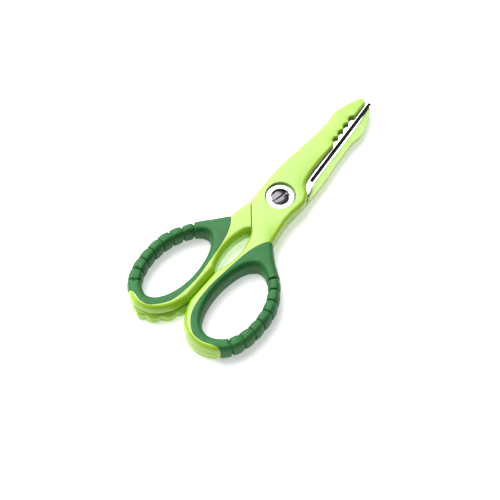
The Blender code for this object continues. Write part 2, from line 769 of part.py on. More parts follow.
def main():
    clear_scene()
    lime = material("lime_plastic", LIME, 0.35)
    green = material("soft_grip", DARK_GREEN, 0.6)
    steel = material("blade_steel", STEEL, 0.3, 1)
    bright = material("bright_steel", BRIGHT_STEEL, 0.2, 1)
    nylon = material("nylon", NYLON, 0.5)

    upright = envelope(1)
    front_handle = handle_moulding("front_handle", upright, lime)
    front_grip = soft_grip("front_grip", upright, green)
    front_blade = steel_strip("front_blade", steel)
    combine(front_handle, skirt(FRONT_LOBE_HEIGHT), "UNION")

    # The rear half is made lying on its upper face, and is then turned over into its own layer
    overturned = envelope(-1)
    rear_handle = turned_over(handle_moulding("rear_moulding", overturned, lime), "rear_handle")
    rear_grip = turned_over(soft_grip("rear_overmould", overturned, green), "rear_grip")
    rear_blade = turned_over(front_blade, "rear_blade")
    combine(rear_handle, mirrored_skirt(REAR_LOBE_HEIGHT), "UNION")
    narrow_loop(rear_handle)
    narrow_loop(rear_grip)

    pieces = [front_handle, front_grip, front_blade, rear_handle, rear_grip, rear_blade]
    pieces += pivot_pieces(bright, steel, nylon)
    for item in list(bpy.data.objects):
        if item not in pieces:
            bpy.data.objects.remove(item)
    centre(pieces)
    for piece in pieces:
        finish(piece)


main()
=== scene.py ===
"""Looks of the craft scissors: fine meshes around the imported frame, materials, floor, light, camera.

Shapes are drawn in millimetres around the pivot: x and y from its axis, z from the mid plane that
the two halves share. place() scales a finished piece to metres and moves it to the frame's pivot.
"""
import json
import math

import bpy
import numpy as np
from mathutils import Matrix, Vector
from mathutils.geometry import delaunay_2d_cdt
from mathutils.kdtree import KDTree

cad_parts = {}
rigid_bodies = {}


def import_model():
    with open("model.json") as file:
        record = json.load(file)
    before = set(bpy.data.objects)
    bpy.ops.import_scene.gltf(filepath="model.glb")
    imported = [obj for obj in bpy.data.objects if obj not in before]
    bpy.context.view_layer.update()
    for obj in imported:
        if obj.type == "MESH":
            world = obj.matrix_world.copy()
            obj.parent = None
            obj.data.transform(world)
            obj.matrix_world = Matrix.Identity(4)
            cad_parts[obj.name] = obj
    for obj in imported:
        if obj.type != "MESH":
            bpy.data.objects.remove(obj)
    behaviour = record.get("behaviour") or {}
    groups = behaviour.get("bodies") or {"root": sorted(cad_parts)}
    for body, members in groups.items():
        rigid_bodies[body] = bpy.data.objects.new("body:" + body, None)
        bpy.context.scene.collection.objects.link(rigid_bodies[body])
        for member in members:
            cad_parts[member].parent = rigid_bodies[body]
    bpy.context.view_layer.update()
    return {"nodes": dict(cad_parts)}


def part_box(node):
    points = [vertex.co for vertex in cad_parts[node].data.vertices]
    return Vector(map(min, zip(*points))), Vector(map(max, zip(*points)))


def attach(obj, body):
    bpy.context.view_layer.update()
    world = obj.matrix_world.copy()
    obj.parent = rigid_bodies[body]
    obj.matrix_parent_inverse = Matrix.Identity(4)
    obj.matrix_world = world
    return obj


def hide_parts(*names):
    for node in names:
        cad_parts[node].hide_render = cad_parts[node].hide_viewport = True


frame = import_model()

MM = 0.001
SCREW_LOW, SCREW_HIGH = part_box("pivot_screw")
BLADE_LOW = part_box("front_blade")[0].z
REAR_BLADE_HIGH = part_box("rear_blade")[1].z
PIVOT = Vector((
    (SCREW_LOW.x + SCREW_HIGH.x) / 2,
    (SCREW_LOW.y + SCREW_HIGH.y) / 2,
    (BLADE_LOW + REAR_BLADE_HIGH) / 2,
))

# Sizes that follow the frame, in millimetres from the mid plane
LAYER_GAP = (BLADE_LOW - PIVOT.z) / MM
HALF_THICKNESS = (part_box("front_grip")[1].z - PIVOT.z) / MM
HEAD_TOP = (SCREW_HIGH.z - PIVOT.z) / MM
WASHER_BOTTOM, WASHER_TOP = ((corner.z - PIVOT.z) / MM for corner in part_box("pivot_washer"))
WASHER_RADIUS = (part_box("pivot_washer")[1].x - PIVOT.x) / MM
NUT_BOTTOM, NUT_TOP = ((corner.z - PIVOT.z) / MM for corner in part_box("pivot_nut"))

# Half height of a half's envelope along the length
HUB_HALF_HEIGHT = 4.1
TIP_HALF_HEIGHT = 3.4
HANDLE_END_Y = -24
HUB_START_Y = -10
HUB_END_Y = 9
TIP_Y = 60.8
CROWN = 0.16                 # how far a top face rises from its rim to its middle
CROWN_REACH = 5.0

# Edge rounding, across the edge and down the side wall
HANDLE_ROUNDING = (2.25, 3.7)
LINING_ROUNDING = (0.9, 1.2)       # under the grip's lining on the axis side of the hole
HUB_ROUNDING = (1.7, 1.9)
TIP_ROUNDING = (0.9, 1.1)
CUTTING_SIDE_ROUNDING = (1.3, 0.9)
WAVE_ROUNDING = (0.5, 0.5)
DIAGONAL_ROUNDING = (1.1, 0.7)
ROUNDING_STEPS = 9
SEAM = 0.2                   # gap between the plastic and the soft grip

# Outline of the front half, anticlockwise from the tip
TIP_CURVE = [(0.1, 60.2), (-1.3, 60.75), (-2.5, 60.6), (-3.4, 59.7)]
SPINE_CURVE = [
    (-3.4, 59.7), (-6.2, 52.6), (-7.5, 47.4), (-6.95, 41.5),
    (-7.8, 30), (-9.3, 16.5), (-9.7, 6), (-9.2, -8.7),
]
CROTCH = (-0.15, -20.15)
LENS_CURVE = [(0.15, -20.5), (2.75, -32.5), (0.15, -45.5)]
LOOP_CURVE = [
    (0.15, -63.5), (3.2, -71.2), (8.8, -77), (15.6, -78.9), (22.4, -77.6),
    (28.2, -73.2), (31.8, -66.2), (33, -56), (31.6, -44.4), (25.9, -34.3),
    (16.6, -26.1), (11.3, -20.4),
]
NECK_CURVE = [(11.3, -20.4), (9.5, -10), (9.35, -4), (10.1, 3.6), (8.3, 8.2)]
CUTTING_SIDE_CURVE = [(8.3, 8.2), (4.6, 11.8), (3, 17.5), (2.1, 33.5), (0.8, 51), (0.1, 60.2)]
HOLE_CURVE = [
    (13.8, -33.1), (9.4, -36.6), (6.8, -45), (6.3, -55), (8.3, -64.6), (12.3, -70.6),
    (17.5, -72.2), (23.3, -68.9), (26.6, -61.4), (27.1, -52), (24.9, -43.2), (20.3, -36.4),
]
GRIP_LINE = [
    (13, -19.6), (9.3, -22.4), (6.1, -30), (4.2, -43.5), (3.3, -56), (5.2, -68.6),
    (11, -75.7), (16.5, -76.8), (24.5, -75.2), (30, -78.6),
]

# Decorative waves in the cover's cutting side
WAVE_COUNT = 4
WAVE_PITCH = 4.15
WAVE_FIRST_Y = 37.1
WAVE_RADIUS = 2.15
WAVE_DEPTH = 1.5

# Ribs of the grip's outer sleeve
GROOVE_COUNT = 8
GROOVE_FIRST = (23.8, -32.5)
GROOVE_LAST = (28.8, -71.4)
GROOVE_FLOOR = 0.3           # half width of a groove's flat floor
GROOVE_TOP = 0.6             # half width of a groove at the surface
GROOVE_DEPTH = 0.7
BEAD_DROP = 0.42             # how far a bead falls from its middle to its sides

# Lobed skirt under the rim of the loop's end, and the groove between the two
SKIRT_BOTTOM, SKIRT_TOP = -4.3, 0.2
SKIRT_ROOT = -1.6            # how far inside the rim the skirt starts
SKIRT_LIP = -0.45            # where its sloping top meets the groove
SKIRT_SLOPE = 1.8            # how far its top slopes down at a lobe
SKIRT_GROOVE = (0.15, 0.75)
SKIRT_GROOVE_DEPTH = 0.6
SKIRT_END_X = 24.3
LOBE_COUNT = 5
FRONT_LOBE_HEIGHT = 0.15
REAR_LOBE_HEIGHT = 1.7

# The thumb loop is this much narrower than the finger loop
THUMB_LOOP_NARROWER = 2.7

# Steel strips
BLADE_THICKNESS = 1.0
GROUND_EDGE_WIDTH = 1.1
GROUND_EDGE_LAND = 0.3
EDGE_BREAK = 0.07
TANG_RADIUS = 7.9
TANG_HOLE_RADIUS = 2.55
BLADE_TIP = [(0.5, 61.4), (-0.8, 60.3), (-2.2, 58.7)]
BLADE_BACK = [(-2.2, 58.7), (-3.7, 49), (-5.1, 31), (-5.9, 17.7), (-6.9, 12.6), (-7.6, 8)]
BLADE_HEEL = [(7.9, 4), (8, 9), (7.1, 12.2), (5.3, 15)]
BLADE_EDGE_END = (1.9, 62.4)

# Pivot
RECESS_RADIUS = 6.5
RECESS_FLOOR = HUB_HALF_HEIGHT - 2.8
RECESS_RIM = 0.45
SEAT_RADIUS, SEAT_RIM_RADIUS = 3.85, 4.1
HEAD_RADIUS = 3.7
HEAD_HEIGHT = 1.2
SHANK_RADIUS = 1.6
SLOT_WIDTH = 1.0
SLOT_DEPTH = 0.8
SLOT_TILT = math.radians(-14)
NUT_RADIUS = 3.3
ROUND_SEGMENTS = 96

# Clearances, cutting tools and drawing steps
BORE_CLEARANCE = 0.1
POCKET_CLEARANCE = 0.15
POCKET_HEADROOM = 0.05
TOOL_HALF_HEIGHT = 8         # cutting tools reach this far above and below the mid plane
GRID_SPACING = 1.5           # of the inner points of a plate's flat faces
GRID_MARGIN = 0.5
SAME_POINT = 0.02
GRIP_FAR_CORNERS = [(45, -95), (45, -10)]
FREE_LAYER_FAR_CORNERS = [(30, 10), (30, 80), (-30, 80), (-30, -30)]
SLEEVE_REACH = 4.5           # the grooves shape everything this near to the sleeve's middle
NARROWED_ACROSS = (8, 27)    # distance from the long axis where narrowing starts and is full
NARROWED_ALONG = (-24, -36)
SMOOTH_TO = 32               # edges sharper than this many degrees stay sharp
STEEL_SMOOTH_TO = 12
NUT_SMOOTH_TO = 20


# ---------------------------------------------------------------- curves and outlines

def curve(points, spacing, closed=False):
    """Points along a Catmull-Rom curve, about one spacing apart."""
    knots = [Vector(point) for point in points]
    count = len(knots)
    result = []
    for span in range(count if closed else count - 1):
        start = knots[span]
        end = knots[(span + 1) % count]
        before = knots[(span - 1) % count] if closed or span else 2 * start - end
        after = knots[(span + 2) % count] if closed or span + 2 < count else 2 * end - start
        length = (end - start).length
        start_slope = (end - before) * length / ((start - before).length + length)
        end_slope = (after - start) * length / ((after - end).length + length)
        steps = max(2, round(length / spacing))
        for step in range(steps):
            t = step / steps
            result.append(
                start * (2 * t**3 - 3 * t**2 + 1)
                + start_slope * (t**3 - 2 * t**2 + t)
                + end * (3 * t**2 - 2 * t**3)
                + end_slope * (t**3 - t**2)
            )
    if not closed:
        result.append(knots[-1])
    return result


def arc(first, middle, last, spacing):
    """Points along the circular arc through three points."""
    a, b, c = Vector(first), Vector(middle), Vector(last)
    doubled_area = 2 * (a.x * (b.y - c.y) + b.x * (c.y - a.y) + c.x * (a.y - b.y))
    centre = Vector((
        (a.dot(a) * (b.y - c.y) + b.dot(b) * (c.y - a.y) + c.dot(c) * (a.y - b.y)) / doubled_area,
        (a.dot(a) * (c.x - b.x) + b.dot(b) * (a.x - c.x) + c.dot(c) * (b.x - a.x)) / doubled_area,
    ))
    radius = (a - centre).length
    start = math.atan2(a.y - centre.y, a.x - centre.x)
    sweep = -(a - centre).angle_signed(c - centre)
    steps = max(3, round(abs(sweep) * radius / spacing))
    angles = (start + sweep * k / steps for k in range(steps + 1))
    return [centre + radius * Vector((math.cos(angle), math.sin(angle))) for angle in angles]


def straight(first, last, spacing):
    a, b = Vector(first), Vector(last)
    steps = max(1, round((b - a).length / spacing))
    return [a.lerp(b, k / steps) for k in range(steps + 1)]


def join_curves(*stretches):
    """One closed outline from stretches laid end to end, without repeated points."""
    outline = []
    for stretch in stretches:
        for point in stretch:
            if not outline or (point - outline[-1]).length > SAME_POINT:
                outline.append(point)
    if (outline[0] - outline[-1]).length < SAME_POINT:
        outline.pop()
    return outline


def smooth_step(low, high, value):
    t = min(1, max(0, (value - low) / (high - low)))
    return t * t * (3 - 2 * t)


def inward_normals(outline):
    """Unit steps to the left of an outline's direction, lengthened at corners."""
    normals = []
    count = len(outline)
    for index in range(count):
        before = (outline[index] - outline[index - 1]).normalized()
        after = (outline[(index + 1) % count] - outline[index]).normalized()
        middle = (before + after).normalized()
        stretch = 1 / max(0.6, middle.dot(after))
        normals.append(Vector((-middle.y, middle.x)) * stretch)
    return normals


def inner_rim(outline, widths):
    """The outline moved inwards by a width for each point, without folds at its corners."""
    places = zip(outline, inward_normals(outline), widths)
    rim = [point + normal * width for point, normal, width in places]
    count = len(outline)
    for _ in range(400):
        folded = set()
        for index in range(count):
            before = outline[index] - outline[index - 1]
            if (rim[index] - rim[index - 1]).dot(before) < 0.15 * before.length_squared:
                folded |= {(index - 2) % count, (index - 1) % count, index, (index + 1) % count}
        if not folded:
            break
        moved = {k: (rim[k - 1] + rim[(k + 1) % count] + rim[k]) / 3 for k in folded}
        for index, point in moved.items():
            rim[index] = point
    return rim


def offset(outline, distance):
    return [point + normal * distance for point, normal in zip(outline, inward_normals(outline))]


def within(points, outline):
    """For each point, whether it lies inside an outline."""
    points = np.array(points, float).reshape(-1, 2)
    ends = np.array([tuple(point) for point in outline], float)
    starts = np.roll(ends, 1, axis=0)
    hits = np.zeros(len(points), bool)
    for (ax, ay), (bx, by) in zip(starts, ends):
        if ay == by:
            continue
        spans = (ay > points[:, 1]) != (by > points[:, 1])
        crossing = (bx - ax) * (points[:, 1] - ay) / (by - ay) + ax
        hits ^= spans & (points[:, 0] < crossing)
    return hits


def scalloped(side):
    """The cover's cutting side with its row of round waves."""
    half_chord = math.sqrt(WAVE_RADIUS**2 - (WAVE_RADIUS - WAVE_DEPTH)**2)
    depths = []
    for point in side:
        depth = 0
        for index in range(WAVE_COUNT):
            away = abs(point.y - (WAVE_FIRST_Y + index * WAVE_PITCH))
            if away < half_chord:
                depth = math.sqrt(WAVE_RADIUS**2 - away**2) - (WAVE_RADIUS - WAVE_DEPTH)
        depths.append(depth)
    for _ in range(2):
        last = len(depths) - 1
        depths = [
            (depths[max(0, k - 1)] + 2 * depths[k] + depths[min(last, k + 1)]) / 4
            for k in range(len(depths))
        ]
    return [point - Vector((depth, 0)) for point, depth in zip(side, depths)]


class Sleeve:
    """The ribbed outer side of the loop: matching places on its rim, its hole edge and its middle."""

    SAMPLE = 0.05
    END_MARGIN = 1.6

    def __init__(self):
        self.rim = curve(LOOP_CURVE, self.SAMPLE)
        self.hole = curve(HOLE_CURVE, self.SAMPLE, closed=True)
        lengths = [0.0]
        for a, b in zip(self.rim, self.rim[1:]):
            lengths.append(lengths[-1] + (b - a).length)
        self.lengths = np.array(lengths)
        self.first, self.last = sorted(self.length_at(place) for place in (GROOVE_FIRST, GROOVE_LAST))
        self.pitch = (self.last - self.first) / (GROOVE_COUNT - 1)
        self.tree = KDTree(len(self.hole))
        for index, point in enumerate(self.hole):
            self.tree.insert((*point, 0), index)
        self.tree.balance()
        self.stations = self.make_stations()
        self.rim_points = [self.rim_at(s) for s in self.stations]
        self.hole_index = [self.tree.find((*point, 0))[1] for point in self.rim_points]
        self.hole_points = [self.on_hole(*pair) for pair in zip(self.rim_points, self.hole_index)]
        self.middles = [(a + b) / 2 for a, b in zip(self.rim_points, self.hole_points)]
        self.middle_tree = KDTree(len(self.middles))
        for index, point in enumerate(self.middles):
            self.middle_tree.insert((*point, 0), index)
        self.middle_tree.balance()

    def length_at(self, place):
        place = Vector(place)
        nearest = min(range(len(self.rim)), key=lambda k: (self.rim[k] - place).length)
        return self.lengths[nearest]

    def rim_at(self, length):
        index = int(np.searchsorted(self.lengths, length))
        share = (length - self.lengths[index - 1]) / (self.lengths[index] - self.lengths[index - 1])
        return self.rim[index - 1].lerp(self.rim[index], share)

    def on_hole(self, point, index):
        """The place on the hole's edge nearest to a point, next to one of its samples."""
        before, after = self.hole[index - 2], self.hole[(index + 2) % len(self.hole)]
        share = (point - before).dot(after - before) / (after - before).length_squared
        return before.lerp(after, share)

    def make_stations(self):
        """Lengths along the rim, close together at the walls of the grooves."""
        stations = [self.first - self.END_MARGIN, self.first - 1.1]
        wall = GROOVE_TOP - GROOVE_FLOOR
        steps = [-GROOVE_TOP - 0.05] + [-GROOVE_TOP + wall * k / 4 for k in range(5)]
        steps += [0.0] + [-step for step in reversed(steps)]
        for index in range(GROOVE_COUNT):
            middle = self.first + index * self.pitch
            stations += [middle + step for step in steps]
            if index < GROOVE_COUNT - 1:
                room = self.pitch - 2 * GROOVE_TOP
                stations += [middle + GROOVE_TOP + room * k / 10 for k in range(1, 10)]
        return stations + [self.last + 1.1, self.last + self.END_MARGIN]

    def profile(self, length):
        """How far the sleeve's surface stands from its full size at one length."""
        if not self.first - GROOVE_TOP <= length <= self.last + GROOVE_TOP:
            return 0.0
        index = min(GROOVE_COUNT - 1, max(0, round((length - self.first) / self.pitch)))
        away = abs(length - (self.first + index * self.pitch))
        groove = 1 - smooth_step(GROOVE_FLOOR, GROOVE_TOP, away)
        inner = self.first < length < self.last
        share = min(1, away / (self.pitch / 2))
        side_drop = BEAD_DROP * (1 - share)**2.2 if inner else BEAD_DROP * (1 - away / GROOVE_TOP)
        return -GROOVE_DEPTH * groove - side_drop

    def shape(self, piece):
        """Press the grooves into a fine plate and round its beads."""
        for vertex in piece.data.vertices:
            place, index, away = self.middle_tree.find((vertex.co.x, vertex.co.y, 0))
            if away > SLEEVE_REACH or index in (0, len(self.middles) - 1):
                continue
            before, after = self.middles[index - 1], self.middles[index + 1]
            gap = vertex.co.xy - self.middles[index]
            tangent = after - before
            step = gap.dot(tangent) / tangent.length_squared
            length = self.stations[index] + step * (self.stations[index + 1] - self.stations[index - 1])
            across = gap - tangent * (gap.dot(tangent) / tangent.length_squared)
            spoke = Vector((across.x, across.y, vertex.co.z))
            vertex.co += spoke.normalized() * self.profile(length)


SLEEVE = Sleeve()


def half_outline():
    """Outline of the whole front half: blade cover, neck, shank and loop."""
    loop = curve(LOOP_CURVE, 0.6)
    start, end = SLEEVE.rim_points[0], SLEEVE.rim_points[-1]
    near_start = min(range(len(loop)), key=lambda k: (loop[k] - start).length)
    near_end = min(range(len(loop)), key=lambda k: (loop[k] - end).length)
    return join_curves(
        curve(TIP_CURVE, 0.3),
        curve(SPINE_CURVE, 0.7),
        straight(SPINE_CURVE[-1], CROTCH, 0.7),
        arc(*LENS_CURVE, 0.7),
        straight(LENS_CURVE[-1], LOOP_CURVE[0], 0.8),
        loop[:near_start],
        SLEEVE.rim_points,
        loop[near_end + 1:],
        curve(NECK_CURVE, 0.6),
        scalloped(curve(CUTTING_SIDE_CURVE, 0.22)),
    )


def hole_outline():
    """Outline of the finger hole, clockwise."""
    count = len(SLEEVE.hole)
    first, last = SLEEVE.hole_index[0], SLEEVE.hole_index[-1]
    step = round(0.6 / SLEEVE.SAMPLE)
    rest = [SLEEVE.hole[(last + k) % count] for k in range(step, (first - last) % count, step)]
    return (SLEEVE.hole_points + rest)[::-1]


def half_height(y):
    """Height of a half's envelope above and below the mid plane."""
    if y < HUB_END_Y:
        share = smooth_step(HANDLE_END_Y, HUB_START_Y, y)
        return HALF_THICKNESS + (HUB_HALF_HEIGHT - HALF_THICKNESS) * share
    share = (y - HUB_END_Y) / (TIP_Y - HUB_END_Y)
    return HUB_HALF_HEIGHT + (TIP_HALF_HEIGHT - HUB_HALF_HEIGHT) * share


def from_diagonal(point):
    """Distance from the slanted edge where the halves meet behind the pivot."""
    start, end = Vector(SPINE_CURVE[-1]), Vector(CROTCH)
    along = min(1, max(0, (point - start).dot(end - start) / (end - start).length_squared))
    return (point - start.lerp(end, along)).length


def edge_rounding(point, side):
    """Width and depth of the rounded edge at one place on the outline, above (1) or below (-1)."""
    by_lining = smooth_step(5.2, 6.2, point.x) * (1 - smooth_step(12, 20, point.x))
    by_lining *= smooth_step(-75, -72.5, point.y) * (1 - smooth_step(-34, -30, point.y)) * (side < 0)
    at_hub = smooth_step(-30, -12, point.y)
    at_tip = smooth_step(20, TIP_Y, point.y)
    by_cutting_side = smooth_step(-4, -1.5, point.x) * smooth_step(9, 16, point.y)
    by_waves = smooth_step(-4, -1.5, point.x) * smooth_step(24, 34, point.y)
    by_diagonal = 1 - smooth_step(0.1, 2.5, from_diagonal(point))
    sizes = []
    for index in range(2):
        size = HANDLE_ROUNDING[index]
        size += (LINING_ROUNDING[index] - size) * by_lining
        size += (HUB_ROUNDING[index] - size) * at_hub
        size += (TIP_ROUNDING[index] - HUB_ROUNDING[index]) * at_tip
        size += (CUTTING_SIDE_ROUNDING[index] - size) * by_cutting_side
        size += (WAVE_ROUNDING[index] - size) * by_waves
        size += (DIAGONAL_ROUNDING[index] - size) * by_diagonal
        sizes.append(size)
    return sizes


# ---------------------------------------------------------------- meshes

def new_object(name, verts, faces):
    mesh = bpy.data.meshes.new(name)
    mesh.from_pydata([tuple(vert) for vert in verts], [], faces)
    mesh.update()
    made = bpy.data.objects.new(name, mesh)
    bpy.context.scene.collection.objects.link(made)
    return made


def duplicate(source, name):
    made = bpy.data.objects.new(name, source.data.copy())
    bpy.context.scene.collection.objects.link(made)
    return made


def ring_faces(first, second, flip=False):
    """Quads between two rings of vertex numbers."""
    faces = []
    count = len(first)
    for index in range(count):
        following = (index + 1) % count
        face = (first[index], first[following], second[following], second[index])
        faces.append(face[::-1] if flip else face)
    return faces


def plan_triangles(rings, spacing, margin):
    """Triangles over a flat region: its ring points, grid points inside, and corner numbers."""
    flat, edges = [], []
    for ring in rings:
        start = len(flat)
        flat += ring
        edges += [(start + k, start + (k + 1) % len(ring)) for k in range(len(ring))]
    low = Vector((min(p.x for p in rings[0]), min(p.y for p in rings[0])))
    high = Vector((max(p.x for p in rings[0]), max(p.y for p in rings[0])))
    grid = [
        Vector((low.x + column * spacing, low.y + (row + 0.5 * (column % 2)) * spacing))
        for row in range(int((high.y - low.y) / spacing) + 1)
        for column in range(int((high.x - low.x) / spacing) + 1)
    ]
    keep = within(grid, rings[0])
    for ring in rings[1:]:
        keep &= ~within(grid, ring)
    tree = KDTree(len(flat))
    for index, point in enumerate(flat):
        tree.insert((*point, 0), index)
    tree.balance()
    inner = []
    for point, kept in zip(grid, keep):
        away = tree.find((*point, 0))[2] if kept else 0
        if away > margin:
            inner.append((point, away))
    everything = flat + [point for point, _ in inner]
    _, _, triangles, originals, _, _ = delaunay_2d_cdt(everything, edges, [], 0, 1e-7)
    if not all(originals):
        raise RuntimeError("two outlines of a plate cross")
    corners = [[originals[k][0] for k in triangle] for triangle in triangles]
    centres = [sum((everything[k] for k in corner), Vector((0, 0))) / 3 for corner in corners]
    keep = within(centres, rings[0])
    for ring in rings[1:]:
        keep &= ~within(centres, ring)
    return inner, [corner for corner, kept in zip(corners, keep) if kept]


def rounded_plate(name, outlines):
    """A plate about the mid plane with rounded edges and a slightly crowned top and bottom."""
    turns = [math.pi / 2 * (1 - step / ROUNDING_STEPS) for step in range(ROUNDING_STEPS + 1)]
    levels = [(-1, turn) for turn in turns] + [(1, turn) for turn in reversed(turns)]
    verts, faces = [], []
    rims = {0: [], len(levels) - 1: []}
    for outline in outlines:
        sizes = {side: [edge_rounding(point, side) for point in outline] for side in (-1, 1)}
        inner = {side: inner_rim(outline, [width for width, _ in sizes[side]]) for side in (-1, 1)}
        first = len(verts)
        count = len(outline)
        for side, turn in levels:
            for point, target, (_, depth) in zip(outline, inner[side], sizes[side]):
                place = point.lerp(target, 1 - math.cos(turn))
                height = half_height(point.y) - CROWN - depth * (1 - math.sin(turn))
                verts.append((place.x, place.y, side * height))
        rows = [list(range(first + k * count, first + (k + 1) * count)) for k in range(len(levels))]
        for lower, upper in zip(rows, rows[1:]):
            faces += ring_faces(lower, upper)
        for level, rim in rims.items():
            rim.append(rows[level])
    for level, rim in rims.items():
        side = 1 if level else -1
        rings = [[Vector(verts[index][:2]) for index in ring] for ring in rim]
        numbers = [index for ring in rim for index in ring]
        inner, triangles = plan_triangles(rings, GRID_SPACING, GRID_MARGIN)
        for point, away in inner:
            numbers.append(len(verts))
            drop = CROWN * (1 - min(1, away / CROWN_REACH))**2
            verts.append((point.x, point.y, side * (half_height(point.y) - drop)))
        for corners in triangles:
            face = [numbers[k] for k in corners]
            faces.append(face if side > 0 else face[::-1])
    return new_object(name, verts, faces)


def prism(name, outline, low, high):
    """A straight-sided solid over an anticlockwise outline."""
    count = len(outline)
    verts = [(*point, z) for z in (low, high) for point in outline]
    lower, upper = list(range(count)), list(range(count, 2 * count))
    return new_object(name, verts, [lower[::-1], upper] + ring_faces(lower, upper))


def turned(name, profile):
    """A solid turned about the pivot axis from a profile of (radius, z) up its outer side."""
    verts, faces, rings = [], [], []
    for radius, z in profile:
        if radius == 0:
            rings.append([len(verts)] * ROUND_SEGMENTS)
            verts.append((0, 0, z))
            continue
        rings.append([len(verts) + k for k in range(ROUND_SEGMENTS)])
        for k in range(ROUND_SEGMENTS):
            angle = 2 * math.pi * k / ROUND_SEGMENTS
            verts.append((radius * math.cos(angle), radius * math.sin(angle), z))
    pairs = list(zip(rings, rings[1:]))
    if profile[0][0] > 0:
        pairs.append((rings[-1], rings[0]))
    for lower, upper in pairs:
        faces += [tuple(dict.fromkeys(face)) for face in ring_faces(lower, upper)]
    return new_object(name, verts, faces)


def fillet(centre, radius, start, end, steps=6):
    """Points of (radius, z) along a small arc, with angles in degrees."""
    angles = (math.radians(start + (end - start) * k / steps) for k in range(steps + 1))
    return [(centre[0] + radius * math.cos(a), centre[1] + radius * math.sin(a)) for a in angles]


def combine(target, tool, operation):
    """Apply one Boolean to the target and drop the tool."""
    step = target.modifiers.new(operation.title(), "BOOLEAN")
    step.operation = operation
    step.solver = "MANIFOLD"
    step.object = tool
    bpy.context.view_layer.update()
    evaluated = target.evaluated_get(bpy.context.evaluated_depsgraph_get())
    result = bpy.data.meshes.new_from_object(evaluated)
    target.modifiers.clear()
    if not result.polygons:
        raise RuntimeError(f"the Boolean {operation} left nothing of {target.name}")
    target.data = result
    bpy.data.objects.remove(tool)


def as_drawn(piece):
    """The piece as it is, for the front half."""
    return piece


def turned_over(piece):
    """The piece turned half a turn about the long axis in the mid plane."""
    piece.data.transform(Matrix.Rotation(math.pi, 4, "Y"))
    return piece


def mirrored(piece):
    """The piece mirrored to the other side of the long axis."""
    piece.data.transform(Matrix.Scale(-1, 4, (1, 0, 0)))
    piece.data.flip_normals()
    return piece


# ---------------------------------------------------------------- mouldings and grips

def grip_region(clearance):
    """Plan of everything on the grip's side of the line where it meets the plastic."""
    line = curve(GRIP_LINE, 0.5)
    last = len(line) - 1
    moved = []
    for index, point in enumerate(line):
        direction = (line[min(index + 1, last)] - line[max(index - 1, 0)]).normalized()
        moved.append(point + Vector((-direction.y, direction.x)) * clearance)
    return moved + [Vector(corner) for corner in GRIP_FAR_CORNERS]


def free_layer():
    """Plan of the blade and hub area, which this half leaves to the other one."""
    start, end = Vector(SPINE_CURVE[-1]), Vector(CROTCH)
    direction = (end - start).normalized()
    outward = Vector((direction.y, -direction.x)) * LAYER_GAP * 2
    near = start + outward - direction * 10
    far = end + outward + direction * 6
    slanted_side = [Vector((-point.x, point.y)) for point in (far, near)]
    return slanted_side + [Vector(corner) for corner in FREE_LAYER_FAR_CORNERS]


def along_loop_end(name, section_at):
    """A closed bar round the end of the loop, with its section of (out, z) given at each share."""
    rim = SLEEVE.rim[::6]
    contour = rim[:next(k for k, point in enumerate(rim) if point.x > SKIRT_END_X)]
    last = len(contour) - 1
    verts, rows = [], []
    for index, point in enumerate(contour):
        direction = (contour[min(index + 1, last)] - contour[max(index - 1, 0)]).normalized()
        outward = Vector((direction.y, -direction.x))
        section = section_at(index / last)
        rows.append(list(range(len(verts), len(verts) + len(section))))
        verts += [(*(point + outward * out), z) for out, z in section]
    faces = [rows[0][::-1], rows[-1]]
    for lower, upper in zip(rows, rows[1:]):
        faces += ring_faces(lower, upper)
    return new_object(name, verts, faces)


def skirt_section(share, lobe_height):
    """The skirt's section: an upright wall under a top that slopes out to the lobe."""
    ends = smooth_step(0, 0.09, share) * smooth_step(0, 0.35, 1 - share)
    lobe = abs(math.sin(math.pi * LOBE_COUNT * share))**0.9
    crest = SKIRT_LIP + (lobe_height * (0.4 + 0.6 * lobe) - SKIRT_LIP) * ends
    shoulder = SKIRT_TOP - SKIRT_SLOPE * (0.35 + 0.65 * lobe)
    width, height = crest - SKIRT_LIP, SKIRT_TOP - shoulder
    slope = [
        (SKIRT_LIP + width * math.cos(turn), shoulder + height * math.sin(turn))
        for turn in (math.pi / 2 * k / 8 for k in range(9))
    ]
    foot = [(SKIRT_ROOT, SKIRT_BOTTOM), (crest - 0.3, SKIRT_BOTTOM), (crest, SKIRT_BOTTOM + 0.3)]
    return foot + slope + [(SKIRT_ROOT, SKIRT_TOP)]


def groove_section(share):
    """The section of the groove that parts the rim from the skirt, running out at its ends."""
    low, high = SKIRT_GROOVE
    ends = smooth_step(0, 0.09, share) * smooth_step(0, 0.09, 1 - share)
    floor = 0.05 - (SKIRT_GROOVE_DEPTH + 0.05) * ends
    return [(floor, low), (1.5, low), (1.5, high), (floor, high)]


def recess_cutter():
    """The round recess for the screw head, with a rounded rim, and the bore for the bush."""
    top = half_height(0)
    rim = fillet((RECESS_RADIUS + RECESS_RIM, top - RECESS_RIM), RECESS_RIM, 180, 90)
    return turned("recess", [
        (0, 0), (TANG_HOLE_RADIUS, 0), (TANG_HOLE_RADIUS, RECESS_FLOOR), (RECESS_RADIUS, RECESS_FLOOR),
        *rim, (RECESS_RADIUS + RECESS_RIM, top + 2), (0, top + 2),
    ])


